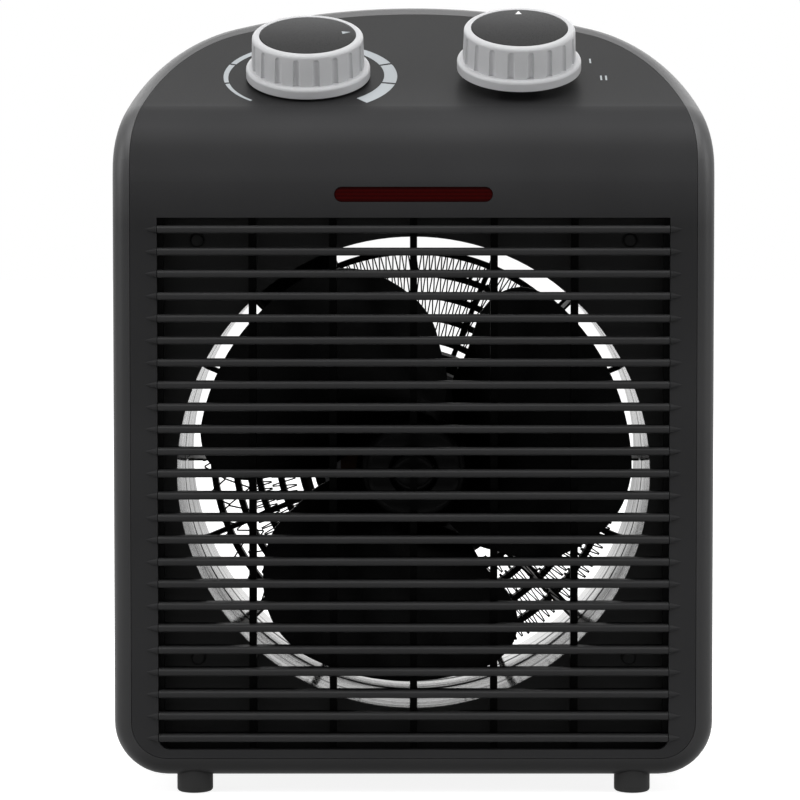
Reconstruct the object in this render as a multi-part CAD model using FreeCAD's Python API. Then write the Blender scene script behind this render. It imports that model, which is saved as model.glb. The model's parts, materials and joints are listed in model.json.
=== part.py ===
import FreeCAD, Part
import math
import os

# Upright fan heater. Millimetres, +Z up, front towards -Y, origin under the middle of the feet.
# A depth is measured backwards from the front face.

# Casing
WIDTH = 200.0
BODY_DEPTH = 108.0
FOOT_HEIGHT = 6.0
WALL = 2.5
HALF = WIDTH / 2.0
BACK_INSIDE = BODY_DEPTH - WALL
BODY_FLOOR = FOOT_HEIGHT + WALL
CROWN_R = 240.0
SHOULDER_R = 50.0
CORNER_R = 18.0
PANEL_ANGLE = 24.9
PANEL_LAND = 11.5
BEND_OVER_LENS = 22.0
RIM_R = 6.0
REAR_R = 8.0
BEND_R = 28.0
LEDGE_WIDTH = 1.0
LEDGE_THICK = 2.5
SEAM_GAP = 0.15
OVERRUN = 5.0

# The duct's size sets the height of what is in front of it
DUCT_SIDE = 20.0
DUCT_FLOOR_GAP = 17.6
DUCT_R = HALF - DUCT_SIDE
AXIS_Z = BODY_FLOOR + DUCT_FLOOR_GAP + DUCT_R
DUCT_THICK = 0.8
DUCT_FLANGE = 4.0
BEAD_R = 1.2
BEAD_SHARE = 0.5

# Front cover
COVER_THICK = 2.5
WINDOW_SIDE = 15.0
WINDOW_HALF = HALF - WINDOW_SIDE
WINDOW_BOTTOM = 15.0
WINDOW_OVER_DUCT = 6.1
WINDOW_TOP = AXIS_Z + DUCT_R + WINDOW_OVER_DUCT
WINDOW_CORNER_R = 4.0
BOSS_SIDE = 10.2
BOSS_X = HALF - BOSS_SIDE
BOSS_LOW_Z = 30.0
BOSS_UNDER_WINDOW = 8.0
BOSS_HIGH_Z = WINDOW_TOP - BOSS_UNDER_WINDOW
BOSS_R = 3.0
BOSS_END = 30.0
TOWER_R = 5.0
COVER_SCREW_R = 1.45
COVER_SCREW_SEAT = 15.0
COVER_SCREW_BITE = 12.0
COVER_SCREW_HEAD_R = 2.8
COVER_SCREW_HEAD = 2.0
SCREW_ROOM = 0.05
HEAD_ROOM = 0.4

# Front grille
LOUVRE_COUNT = 24
LOUVRE_TOP_GAP = 3.9
LOUVRE_BOTTOM_GAP = 3.9
LOUVRE_THICK = 2.6
LOUVRE_PROUD = 1.0
LOUVRE_DEPTH = 5.0
LOUVRE_POINT = 5.2
GRILLE_GAP = 0.2
GRILLE_LAP = 1.7
BAR_COUNT = 5
BAR_SIDE = 31.4
BAR_PITCH = (WINDOW_HALF - BAR_SIDE) / 2.0
BAR_WIDTH = 2.4
BAR_DEPTH = 4.0
STAKE_R = 0.6
STAKE_ROWS = 3

# Indicator
LENS_WIDTH = 52.4
LENS_HEIGHT = 4.9
LENS_OVER_WINDOW = 7.7
LENS_Z = WINDOW_TOP + LENS_OVER_WINDOW
LENS_SET = 0.3
LENS_FLANGE = 1.2
LENS_FLANGE_THICK = 1.2
LAMP_R = 2.6
LAMP_LENGTH = 12.0
LAMP_WALL = 1.2
HOLDER_LENGTH = 14.0

# Panel
SLOPE = math.radians(PANEL_ANGLE)
BEND_Z = LENS_Z + BEND_OVER_LENS
BODY_TOP = BEND_Z + (BODY_DEPTH - PANEL_LAND) * math.tan(SLOPE)

# Baffle
BAFFLE_DEPTH = 14.0
BAFFLE_THICK = 2.0
BAFFLE_SIDE = 13.6
BAFFLE_HALF = HALF - BAFFLE_SIDE
BAFFLE_BOTTOM = 9.5
BAFFLE_OVER_WINDOW = 4.0
BAFFLE_TOP = WINDOW_TOP + BAFFLE_OVER_WINDOW
BAFFLE_LAP = 0.4
BAFFLE_HOLE_R = DUCT_R - BAFFLE_LAP
POST_SIDE = 7.5
POST_LOW = 17.8
POST_HIGH = 1.6
POST_X = DUCT_R - POST_SIDE
POST_LOW_Z = AXIS_Z - DUCT_R + POST_LOW
POST_HIGH_Z = AXIS_Z + DUCT_R - POST_HIGH
POST_R = 4.0
BAFFLE_SCREW_R = 1.45
BAFFLE_SCREW_BITE = 9.0
BAFFLE_HEAD_R = 2.4
BAFFLE_HEAD = 1.8

# Rear grille
GRILLE_THICK = 3.0
GRILLE_FRONT = BACK_INSIDE - GRILLE_THICK
GRILLE_ROOM = 3.0
GRILLE_HOLE_R = DUCT_R + GRILLE_ROOM
GRILLE_FLANGE = 7.0
DISC_R = 37.0
RING_SIDE = 7.1
RING_STEP_IN = 4.3
RING_COUNT = 5
RING_OUTER_R = DUCT_R - RING_SIDE
RING_PITCH = (RING_OUTER_R - DISC_R - RING_STEP_IN) / (RING_COUNT - 1)
RING_WIDTH = 2.2
SPOKE_COUNT = 16
SPOKE_WIDTH = 1.8
# The spoke where the one closed field starts, and the rings that it takes up
CLOSED_SPOKE = 5
CLOSED_RINGS = 1
GRILLE_SCREWS = 4
GRILLE_SCREW_R = 1.4
GRILLE_HEAD_R = 2.6
GRILLE_HEAD = 1.6

# Lengths inside the duct, as shares of its length
DUCT_FRONT = BAFFLE_DEPTH + BAFFLE_THICK
DUCT_LENGTH = GRILLE_FRONT - DUCT_FRONT
STATOR_LENGTH_SHARE = 0.208
HUB_LENGTH_SHARE = 0.3815
FAN_CLEAR_SHARE = 0.0915
BLADE_RISE_SHARE = 0.3006
CARD_LENGTH_SHARE = 0.2543
CARD_CLEAR_SHARE = 0.1214
CUTOUT_SHARE = 0.6936

# Motor
SHAFT_R = 2.0
SHAFT_ROOM = 0.05
STATOR_R = 32.0
YOKE_WIDTH = 6.0
BRIDGE_THICK = 1.6
BRIDGE_STAND = 5.0
MOTOR_POST_LENGTH = 6.9
STATOR_LENGTH = DUCT_LENGTH * STATOR_LENGTH_SHARE
STATOR_DEPTH = GRILLE_FRONT - MOTOR_POST_LENGTH - BRIDGE_THICK - BRIDGE_STAND - STATOR_LENGTH
POLE_COUNT = 4
POLE_WIDTH = 10.0
ROTOR_R_SHARE = 0.46875
ROTOR_R = STATOR_R * ROTOR_R_SHARE
AIR_GAP = 0.5
COIL_THICK = 3.5
COIL_ROOM = 0.3
COIL_LENGTH_SHARE = 0.6364
COIL_LENGTH = (STATOR_R - YOKE_WIDTH - ROTOR_R) * COIL_LENGTH_SHARE
BUSH_R = 5.0
BUSH_LENGTH = 6.0
MOTOR_SCREWS = 2
MOTOR_SCREW_R = 1.45
MOTOR_HEAD_R = 2.7
MOTOR_HEAD = 2.0
MOTOR_POST_R = 4.0
MOTOR_BITE = 6.0

# Fan
FAN_ROOM = 4.9
FAN_R = DUCT_R - FAN_ROOM
FAN_BLADES = 3
BLADE_THICK = 1.8
BLADE_RISE = DUCT_LENGTH * BLADE_RISE_SHARE
BLADE_TURN = 110.0
BLADE_MIDDLE = 122.0
HUB_R_SHARE = 0.25965
HUB_R = FAN_R * HUB_R_SHARE
HUB_LENGTH = DUCT_LENGTH * HUB_LENGTH_SHARE
FAN_CLEAR = DUCT_LENGTH * FAN_CLEAR_SHARE
FAN_DEPTH = STATOR_DEPTH - BRIDGE_STAND - BRIDGE_THICK - FAN_CLEAR - HUB_LENGTH / 2.0
HUB_WALL = 2.0
HUB_CORE_R = 6.0
HUB_ROUND = 5.0
NUT_R = 8.5
NUT_LENGTH = 7.0
# Radius as a share of the fan's radius, with the angles of the two blade edges there
BLADE_EDGE_SHARES = [
    (0.22, 60.0, 176.0),
    (0.38, 67.0, 182.0),
    (0.545, 76.5, 184.5),
    (0.664, 82.0, 185.5),
    (0.757, 88.0, 186.0),
    (0.85, 96.0, 184.5),
    (0.93, 104.0, 181.0),
    (0.977, 111.5, 176.5),
    (1.0, 119.0, 171.0),
]

# Heating element
CARD_COUNT = 8
CARD_THICK = 0.8
CARD_REAR = GRILLE_FRONT - DUCT_LENGTH * CARD_CLEAR_SHARE
CARD_FRONT = CARD_REAR - DUCT_LENGTH * CARD_LENGTH_SHARE
CARD_ROOM = 0.3
CARD_TOOTH = 3.0
CARD_TOOTH_WIDTH = 1.0
HUB_CARD_GAP = 6.5
HUB_CARD_R = STATOR_R + HUB_CARD_GAP
HUB_CARD_THICK = 0.8
ROW_COUNT = 4
ROW_STEP_OUT = 3.5
ROW_STEP_IN = 7.0
ROW_INNER_R = HUB_CARD_R + ROW_STEP_OUT
ROW_OUTER_R = DUCT_R - ROW_STEP_IN
ROW_GAP = 1.6
ROW_WAVE_COUNT = [19, 23, 27, 31]
WIRE = 0.9
WIRE_START = 12.0
WIRE_GAP_ANGLE = 270.0
FUSE_R = 1.6
FUSE_LENGTH = 11.0
CUTOUT_R = 7.0
CUTOUT_HEIGHT = 9.0
CUTOUT_DEPTH = DUCT_FRONT + DUCT_LENGTH * CUTOUT_SHARE
CUTOUT_ANGLE = 80.0

# Knobs and what they turn
KNOB_X = 36.0
KNOB_SLOPE = 42.6
KNOB_FLANGE_R = 21.2
KNOB_FLANGE = 3.6
KNOB_R = 19.4
KNOB_TAPER = 0.5
KNOB_HEIGHT = 14.6
KNOB_WALL = 1.7
KNOB_CAP_R = 16.4
KNOB_CAP = 1.4
KNOB_CAP_ROOM = 0.1
KNOB_FLUTES = 18
KNOB_FLUTE_R = 1.3
KNOB_FLUTE_CUT = 1.2
KNOB_FLUTE_TOP = 1.3
KNOB_ROUND = 1.2
KNOB_CORE_R = 5.4
KNOB_PIN_R = 3.0
KNOB_PIN_LENGTH = 8.0
THERMOSTAT_STAND = 0.9
SWITCH_STAND = 3.6
NECK_R = 4.8
NECK_ROOM = 0.15
NECK_HEIGHT = 4.4
PANEL_NUT_FLATS = 12.0
PANEL_NUT = 2.2
CONTROL_WIDTH = 34.0
CONTROL_LENGTH = 30.0
CONTROL_HEIGHT = 20.0
SPINDLE_SET = 8.0

# Feet
FOOT_R = 6.0
FOOT_SIDE = 26.7
FOOT_FRONT = 8.0
FOOT_BACK = 14.0
FOOT_X = HALF - FOOT_SIDE
FOOT_REAR = BODY_DEPTH - FOOT_BACK
FOOT_STEM_R = 2.5
FOOT_STEM_RISE = 4.0
FOOT_ROUND = 1.0

# Lead inlet
GLAND_SHARE = 0.775
GLAND_X = -GLAND_SHARE * DUCT_R
GLAND_Z = 24.0
GLAND_BORE_R = 3.6
GLAND_NECK_R = 5.6
GLAND_FLANGE_R = 8.0
GLAND_PROUD = 3.0
GLAND_INSIDE = 8.0
GLAND_LIP_R = 6.6
GLAND_LIP = 2.0
CLAMP_LENGTH = 22.0
CLAMP_WIDTH = 8.0
CLAMP_HEIGHT = 10.0
CLAMP_SCREW_R = 1.4
CLAMP_HEAD_R = 2.6
CLAMP_HEAD = 1.6
CLAMP_BITE = 7.0

# Terminal block
BLOCK_SIDE = 22.0
BLOCK_X = HALF - BLOCK_SIDE
BLOCK_WIDTH = 14.0
BLOCK_LENGTH = 30.0
BLOCK_HEIGHT = 12.0
BLOCK_HOLE_R = 1.6
BLOCK_WAYS = 3

FRONT_Y = -(BODY_DEPTH + GLAND_PROUD - LOUVRE_PROUD) / 2.0
X_AXIS = FreeCAD.Vector(1, 0, 0)
Y_AXIS = FreeCAD.Vector(0, 1, 0)
Z_AXIS = FreeCAD.Vector(0, 0, 1)


def at(x, depth, z):
    """A point in the part's frame, from its depth behind the front face."""
    return FreeCAD.Vector(x, FRONT_Y + depth, z)


def box(low, high):
    """A block between two corners given as x, depth, z."""
    size = [b - a for a, b in zip(low, high)]
    return Part.makeBox(size[0], size[1], size[2], at(*low))


def rod(radius, x, z, front, back):
    """A cylinder along the depth."""
    return Part.makeCylinder(radius, back - front, at(x, front, z), Y_AXIS)


def upright(radius, x, depth, low, high):
    """A cylinder along the height."""
    return Part.makeCylinder(radius, high - low, at(x, depth, low), Z_AXIS)


def tube(outer, inner, x, z, front, back):
    """A ring along the depth."""
    return rod(outer, x, z, front, back).cut(rod(inner, x, z, front - OVERRUN, back + OVERRUN))


def fused(shapes):
    """One solid from touching shapes."""
    whole = shapes[0].multiFuse(shapes[1:]) if len(shapes) > 1 else shapes[0]
    return whole.removeSplitter()


def around(count, start=0.0):
    """Evenly spaced angles in degrees."""
    return [start + 360.0 * k / count for k in range(count)]


def polar(radius, angle, depth):
    """A point about the fan's axis."""
    turn = math.radians(angle)
    return at(radius * math.cos(turn), depth, AXIS_Z + radius * math.sin(turn))


def about_axis(shape, angle):
    """A copy turned about the fan's axis, anticlockwise from the front."""
    copy = shape.copy()
    copy.rotate(at(0, 0, AXIS_Z), Y_AXIS, -angle)
    return copy


def on_panel(shape, x):
    """A shape made upright on its own base, set on the panel's surface at a knob."""
    foot = at(x, KNOB_SLOPE * math.cos(SLOPE), BEND_Z + KNOB_SLOPE * math.sin(SLOPE))
    copy = shape.copy()
    copy.Placement = FreeCAD.Placement(foot, FreeCAD.Rotation(X_AXIS, PANEL_ANGLE))
    return copy


def disc(radius, low, high):
    """An upright cylinder on the origin, for pieces that go on the panel."""
    return Part.makeCylinder(radius, high - low, FreeCAD.Vector(0, 0, low))


def outline(inset, top_inset, depth):
    """The casing's front outline, drawn in by an inset, as a face at a depth."""
    half = HALF - inset
    low = FOOT_HEIGHT + inset
    top = BODY_TOP - top_inset
    corner = CORNER_R - inset
    shoulder = SHOULDER_R - inset
    crown_z = top - CROWN_R
    shoulder_x = half - shoulder
    shoulder_z = crown_z + math.sqrt((CROWN_R - shoulder) ** 2 - shoulder_x ** 2)
    lean = math.atan2(shoulder_x, shoulder_z - crown_z)
    join_x = CROWN_R * math.sin(lean)
    join_z = crown_z + CROWN_R * math.cos(lean)
    bend = (math.pi / 2.0 + lean) / 2.0
    bend_x = shoulder_x + shoulder * math.sin(bend)
    bend_z = shoulder_z + shoulder * math.cos(bend)
    nook = corner * (1.0 - math.sqrt(0.5))

    def arc(a, b, c):
        return Part.Arc(at(a[0], depth, a[1]), at(b[0], depth, b[1]), at(c[0], depth, c[1])).toShape()

    def line(a, b):
        return Part.makeLine(at(a[0], depth, a[1]), at(b[0], depth, b[1]))

    edges = [
        line((corner - half, low), (half - corner, low)),
        arc((half - corner, low), (half - nook, low + nook), (half, low + corner)),
        line((half, low + corner), (half, shoulder_z)),
        arc((half, shoulder_z), (bend_x, bend_z), (join_x, join_z)),
        arc((join_x, join_z), (0, top), (-join_x, join_z)),
        arc((-join_x, join_z), (-bend_x, bend_z), (-half, shoulder_z)),
        line((-half, shoulder_z), (-half, low + corner)),
        arc((-half, low + corner), (nook - half, low + nook), (corner - half, low)),
    ]
    return Part.Face(Part.Wire(edges))


def above_panel(sink):
    """Everything above a plane that lies a distance under the panel's surface."""
    rise = math.tan(SLOPE)
    base = BEND_Z - sink / math.cos(SLOPE)
    start = -OVERRUN
    end = BODY_DEPTH + OVERRUN
    high = BODY_TOP + BODY_DEPTH
    corners = [
        at(-WIDTH, start, base + start * rise),
        at(-WIDTH, end, base + end * rise),
        at(-WIDTH, end, high),
        at(-WIDTH, start, high),
    ]
    return Part.Face(Part.makePolygon(corners + corners[:1])).extrude(X_AXIS * (2.0 * WIDTH))


def bend_edges(solid, depth, sink):
    """The edge where the front meets the panel."""
    bend_z = BEND_Z - sink / math.cos(SLOPE) + depth * math.tan(SLOPE)
    middle = at(0, depth, bend_z)
    return [e for e in solid.Edges if e.CenterOfMass.distanceToPoint(middle) < SEAM_GAP]


def wedge(inset, top_inset, sink, back, bend_r):
    """The casing's form, sunk a distance under the front face and the panel."""
    solid = outline(inset, top_inset, sink).extrude(Y_AXIS * (back - sink))
    solid = solid.cut(above_panel(sink))
    return solid.makeFillet(bend_r, bend_edges(solid, sink, sink))


def rim_edges(solid):
    """The edges round the front face and the panel."""
    normal = FreeCAD.Vector(0, -math.sin(SLOPE), math.cos(SLOPE))
    bend = at(0, 0, BEND_Z)
    faces = []
    for face in solid.Faces:
        middle = face.CenterOfMass
        on_front = abs(middle.y - FRONT_Y) < SEAM_GAP
        on_panel_plane = abs((middle - bend).dot(normal)) < SEAM_GAP and middle.z > BEND_Z
        on_bend = abs(face.Surface.Radius - BEND_R) < SEAM_GAP if hasattr(face.Surface, "Radius") else False
        if on_front or on_panel_plane or (on_bend and abs(middle.x) < SEAM_GAP):
            faces.append(face)
    count = {}
    for face in faces:
        for edge in face.Edges:
            count.setdefault(edge.hashCode(), []).append(edge)
    return [found[0] for found in count.values() if len(found) == 1]


def back_edges(solid, depth):
    """The edges round the back wall."""
    plane = FRONT_Y + depth
    return [e for e in solid.Edges if all(abs(v.Y - plane) < SEAM_GAP for v in e.Vertexes)]


def casing_form():
    """The whole casing as one block with its outer rounding."""
    solid = wedge(0, 0, 0, BODY_DEPTH, BEND_R)
    solid = solid.makeFillet(RIM_R, rim_edges(solid))
    return solid.makeFillet(REAR_R, back_edges(solid, BODY_DEPTH))


def cover_inset(inset):
    """The front cover's outline runs closer to the top, where the panel is seen edge-on."""
    return inset, inset * math.sin(SLOPE)


def boss_places():
    """Where the cover is screwed to the shell."""
    return [(side * BOSS_X, z) for side in (-1, 1) for z in (BOSS_LOW_Z, BOSS_HIGH_Z)]


def post_places():
    """Where the baffle is screwed to the shell."""
    return [(side * POST_X, z) for side in (-1, 1) for z in (POST_LOW_Z, POST_HIGH_Z)]


def foot_places():
    """Where the feet stand."""
    return [(side * FOOT_X, depth) for side in (-1, 1) for depth in (FOOT_FRONT, FOOT_REAR)]


def grille_screw_places():
    """Where the rear grille is screwed to the back wall."""
    radius = GRILLE_HOLE_R + GRILLE_FLANGE / 2.0
    turns = around(GRILLE_SCREWS, 360.0 / GRILLE_SCREWS / 2.0)
    return [polar(radius, angle, 0) for angle in turns]


def clamp_places():
    """Where the lead clamp is screwed to its pad."""
    reach = CLAMP_LENGTH / 2.0 - CLAMP_HEAD_R
    return [GLAND_X - reach, GLAND_X + reach]


def clamp_depths():
    """The front and back of the lead clamp."""
    back = BACK_INSIDE - GLAND_INSIDE - GLAND_LIP
    return back - CLAMP_WIDTH, back


def pad_top():
    """The top of the pad that the lead clamp presses on."""
    return GLAND_Z - GLAND_BORE_R


def rear_shell(form):
    lip_sink = COVER_THICK + LEDGE_THICK
    cavity = wedge(WALL, WALL, lip_sink, BACK_INSIDE, BEND_R - lip_sink)
    cavity = cavity.makeFillet(REAR_R - WALL, back_edges(cavity, BACK_INSIDE))
    opening = outline(*cover_inset(RIM_R), -OVERRUN).extrude(Y_AXIS * (BODY_DEPTH + OVERRUN))
    ledge = outline(*cover_inset(RIM_R + LEDGE_WIDTH), -OVERRUN).extrude(Y_AXIS * (BODY_DEPTH + OVERRUN))
    seat = form.cut(wedge(-OVERRUN, -OVERRUN, COVER_THICK, BODY_DEPTH + OVERRUN, BEND_R - COVER_THICK))
    lip = form.cut(wedge(-OVERRUN, -OVERRUN, lip_sink, BODY_DEPTH + OVERRUN, BEND_R - lip_sink))
    shell = form.cut([cavity, opening.common(seat), ledge.common(lip)])
    adds = [rod(TOWER_R, x, z, BOSS_END, BACK_INSIDE) for x, z in boss_places()]
    adds += [rod(POST_R, x, z, BAFFLE_DEPTH + BAFFLE_THICK, BACK_INSIDE) for x, z in post_places()]
    clamp_front, clamp_back = clamp_depths()
    pad_half = CLAMP_LENGTH / 2.0
    adds.append(box(
        (GLAND_X - pad_half, clamp_front, BODY_FLOOR),
        (GLAND_X + pad_half, clamp_back, pad_top()),
    ))
    shell = fused([shell] + adds)
    cuts = [rod(GRILLE_HOLE_R, 0, AXIS_Z, BACK_INSIDE, BODY_DEPTH + OVERRUN)]
    cuts.append(rod(GLAND_NECK_R, GLAND_X, GLAND_Z, BACK_INSIDE - OVERRUN, BODY_DEPTH + OVERRUN))
    for x, z in boss_places():
        seat_depth = BOSS_END + COVER_SCREW_SEAT
        cuts.append(rod(COVER_SCREW_R + SCREW_ROOM, x, z, BOSS_END, seat_depth))
        cuts.append(rod(COVER_SCREW_HEAD_R + HEAD_ROOM, x, z, seat_depth, BODY_DEPTH + OVERRUN))
    for x, z in post_places():
        top = BAFFLE_DEPTH + BAFFLE_THICK
        cuts.append(rod(BAFFLE_SCREW_R + SCREW_ROOM, x, z, top, top + BAFFLE_SCREW_BITE))
    for x, depth in foot_places():
        cuts.append(upright(FOOT_STEM_R, x, depth, FOOT_HEIGHT - OVERRUN, BODY_FLOOR + OVERRUN))
    for place in grille_screw_places():
        cuts.append(rod(GRILLE_SCREW_R + SCREW_ROOM, place.x, place.z, BACK_INSIDE, BODY_DEPTH + OVERRUN))
    for x in clamp_places():
        middle = (clamp_front + clamp_back) / 2.0
        cuts.append(upright(CLAMP_SCREW_R + SCREW_ROOM, x, middle, pad_top() - CLAMP_BITE, pad_top()))
    return shell.cut(cuts)


def stadium(width, height, front, back, z):
    """A slot with round ends, along the depth."""
    radius = height / 2.0
    reach = width / 2.0 - radius
    bar = box((-reach, front, z - radius), (reach, back, z + radius))
    return fused([bar, rod(radius, -reach, z, front, back), rod(radius, reach, z, front, back)])


def louvre_heights():
    """The middle height of each louvre."""
    first = WINDOW_TOP - LOUVRE_TOP_GAP
    last = WINDOW_BOTTOM + LOUVRE_BOTTOM_GAP
    step = (first - last) / (LOUVRE_COUNT - 1)
    return [first - k * step for k in range(LOUVRE_COUNT)]


def stake_places():
    """Where the grille is staked to the cover."""
    x = WINDOW_HALF + GRILLE_LAP / 2.0
    span = WINDOW_TOP - WINDOW_BOTTOM
    heights = [WINDOW_BOTTOM + span * (k + 1) / (STAKE_ROWS + 1) for k in range(STAKE_ROWS)]
    return [(side * x, z) for side in (-1, 1) for z in heights]


def window(gap, front, back):
    """The outlet window, drawn in by a gap, with its lower corners rounded."""
    half = WINDOW_HALF - gap
    low = WINDOW_BOTTOM + gap
    block = box((-half, front, low), (half, back, WINDOW_TOP - gap))
    lower = [e for e in block.Edges if e.BoundBox.ZMax < low + SEAM_GAP and e.BoundBox.XLength < SEAM_GAP]
    return block.makeFillet(WINDOW_CORNER_R - gap, lower)


def front_cover():
    outer = wedge(*cover_inset(RIM_R + SEAM_GAP), 0, BODY_DEPTH, BEND_R)
    inner = wedge(-OVERRUN, -OVERRUN, COVER_THICK, BODY_DEPTH + OVERRUN, BEND_R - COVER_THICK)
    plate = outer.cut(inner)
    cuts = [window(0, -OVERRUN, COVER_THICK + OVERRUN)]
    lens = (LENS_WIDTH + SEAM_GAP, LENS_HEIGHT + SEAM_GAP)
    cuts.append(stadium(lens[0], lens[1], -OVERRUN, COVER_THICK + OVERRUN, LENS_Z))
    hole = disc(NECK_R + NECK_ROOM, -COVER_THICK - OVERRUN, OVERRUN)
    cuts += [on_panel(hole, -KNOB_X), on_panel(hole, KNOB_X)]
    plate = plate.cut(cuts)
    adds = [rod(BOSS_R, x, z, COVER_THICK, BOSS_END) for x, z in boss_places()]
    nose = LOUVRE_THICK / 2.0
    nose_depth = nose - LOUVRE_PROUD
    for z in louvre_heights():
        for side in (-1, 1):
            root = at(side * WINDOW_HALF, nose_depth, z)
            point = Part.makeCone(nose, 0, LOUVRE_POINT, root, X_AXIS * side)
            adds.append(point)
    adds += [rod(STAKE_R, x, z, COVER_THICK, LOUVRE_DEPTH) for x, z in stake_places()]
    cover = fused([plate] + adds)
    bite = BOSS_END - COVER_SCREW_BITE
    return cover.cut([rod(COVER_SCREW_R + SCREW_ROOM, x, z, bite, BOSS_END) for x, z in boss_places()])


def louvre(z):
    """One louvre: a round nose in front and straight faces behind."""
    half = WINDOW_HALF - GRILLE_GAP
    nose = LOUVRE_THICK / 2.0
    nose_depth = nose - LOUVRE_PROUD
    tip = Part.makeCylinder(nose, 2.0 * half, at(-half, nose_depth, z), X_AXIS)
    return fused([tip, box((-half, nose_depth, z - nose), (half, LOUVRE_DEPTH, z + nose))])


def front_grille():
    bars_front = -LOUVRE_PROUD - OVERRUN
    bar_end = LOUVRE_DEPTH + BAR_DEPTH
    adds = [fused([louvre(z) for z in louvre_heights()]).common(window(GRILLE_GAP, bars_front, bar_end))]
    half = WINDOW_HALF - GRILLE_GAP
    wide = WINDOW_HALF + GRILLE_LAP
    low = WINDOW_BOTTOM + GRILLE_GAP
    high = WINDOW_TOP - GRILLE_GAP
    for k in range(BAR_COUNT):
        x = (k - (BAR_COUNT - 1) / 2.0) * BAR_PITCH
        bar = (x - BAR_WIDTH / 2.0, x + BAR_WIDTH / 2.0)
        adds.append(box((bar[0], LOUVRE_DEPTH - nose_lap(), low), (bar[1], bar_end, high)))
    for side in (-1, 1):
        edges = sorted((side * (half - GRILLE_LAP), side * wide))
        adds.append(box((edges[0], COVER_THICK, low), (edges[1], LOUVRE_DEPTH, high)))
    whole = fused(adds)
    return whole.cut([rod(STAKE_R, x, z, COVER_THICK, bar_end) for x, z in stake_places()])


def nose_lap():
    """How far the upright bars are sunk into the louvres."""
    return LOUVRE_THICK / 2.0


def indicator_lens():
    face = stadium(LENS_WIDTH - SEAM_GAP, LENS_HEIGHT - SEAM_GAP, LENS_SET, COVER_THICK, LENS_Z)
    wide = LENS_WIDTH + 2.0 * LENS_FLANGE
    high = LENS_HEIGHT + 2.0 * LENS_FLANGE
    return fused([face, stadium(wide, high, COVER_THICK, COVER_THICK + LENS_FLANGE_THICK, LENS_Z)])


def lamp_depth():
    """The depth of the lamp's axis, behind the lens."""
    return COVER_THICK + LENS_FLANGE_THICK + LAMP_R + LAMP_WALL


def lamp_holder():
    front = COVER_THICK + LENS_FLANGE_THICK
    back = lamp_depth() + LAMP_R + LAMP_WALL
    reach = HOLDER_LENGTH / 2.0
    high = LAMP_R + LAMP_WALL
    block = box((-reach, front, LENS_Z - high), (reach, back, LENS_Z + high))
    half = LAMP_LENGTH / 2.0
    bore = Part.makeCylinder(LAMP_R, LAMP_LENGTH, at(-half, lamp_depth(), LENS_Z), X_AXIS)
    light = box((-half, front, LENS_Z - LAMP_R), (half, lamp_depth(), LENS_Z + LAMP_R))
    return block.cut([bore, light])


def indicator_lamp():
    capsule = Part.makeCylinder(LAMP_R, LAMP_LENGTH, at(-LAMP_LENGTH / 2.0, lamp_depth(), LENS_Z), X_AXIS)
    ends = [e for e in capsule.Edges if e.Closed]
    return capsule.makeFillet(LAMP_R / 2.0, ends)


def baffle_plate():
    back = BAFFLE_DEPTH + BAFFLE_THICK
    plate = box((-BAFFLE_HALF, BAFFLE_DEPTH, BAFFLE_BOTTOM), (BAFFLE_HALF, back, BAFFLE_TOP))
    bottom = [e for e in plate.Edges if e.BoundBox.ZMax < BAFFLE_BOTTOM + SEAM_GAP]
    lower = [e for e in bottom if e.BoundBox.XLength < SEAM_GAP]
    plate = plate.makeFillet(CORNER_R - RIM_R, lower)
    cuts = [rod(BAFFLE_HOLE_R, 0, AXIS_Z, BAFFLE_DEPTH - OVERRUN, back + OVERRUN)]
    for x, z in post_places():
        cuts.append(rod(BAFFLE_SCREW_R + SCREW_ROOM, x, z, BAFFLE_DEPTH, back))
    return plate.cut(cuts)


def screw(radius, length, head_r, head, x, z, seat, way):
    """A round-headed screw along the depth; way is 1 for a shank that runs backwards."""
    axis = Y_AXIS * way
    shank = Part.makeCylinder(radius, length, at(x, seat, z), axis)
    cap = Part.makeCylinder(head_r, head, at(x, seat, z), axis * -1.0)
    outer = at(x, seat - way * head, z).y
    rim = [e for e in cap.Edges if e.Closed and abs(e.CenterOfMass.y - outer) < SEAM_GAP]
    cap = cap.makeFillet(head / 2.0, rim)
    return fused([shank, cap])


def baffle_screws():
    length = BAFFLE_THICK + BAFFLE_SCREW_BITE
    made = []
    for x, z in post_places():
        made.append(screw(BAFFLE_SCREW_R, length, BAFFLE_HEAD_R, BAFFLE_HEAD, x, z, BAFFLE_DEPTH, 1))
    return Part.makeCompound(made)


def cover_screws():
    length = COVER_SCREW_SEAT + COVER_SCREW_BITE
    seat = BOSS_END + COVER_SCREW_SEAT
    made = []
    for x, z in boss_places():
        made.append(screw(COVER_SCREW_R, length, COVER_SCREW_HEAD_R, COVER_SCREW_HEAD, x, z, seat, -1))
    return Part.makeCompound(made)


def rear_grille_screws():
    length = WALL + GRILLE_THICK
    made = []
    for p in grille_screw_places():
        made.append(screw(GRILLE_SCREW_R, length, GRILLE_HEAD_R, GRILLE_HEAD, p.x, p.z, BODY_DEPTH, -1))
    return Part.makeCompound(made)


def heat_duct():
    outer = DUCT_R + DUCT_THICK
    centre = at(0, DUCT_FRONT + DUCT_LENGTH * BEAD_SHARE, AXIS_Z)
    sleeve = tube(outer, DUCT_R, 0, AXIS_Z, DUCT_FRONT, GRILLE_FRONT)
    flange = tube(outer + DUCT_FLANGE, DUCT_R, 0, AXIS_Z, DUCT_FRONT, DUCT_FRONT + DUCT_THICK)
    bore = rod(DUCT_R, 0, AXIS_Z, DUCT_FRONT, GRILLE_FRONT)
    swell = Part.makeTorus(DUCT_R, BEAD_R + DUCT_THICK, centre, Y_AXIS).cut(bore)
    groove = Part.makeTorus(DUCT_R, BEAD_R, centre, Y_AXIS)
    return fused([sleeve, flange, swell]).cut(groove)


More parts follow.
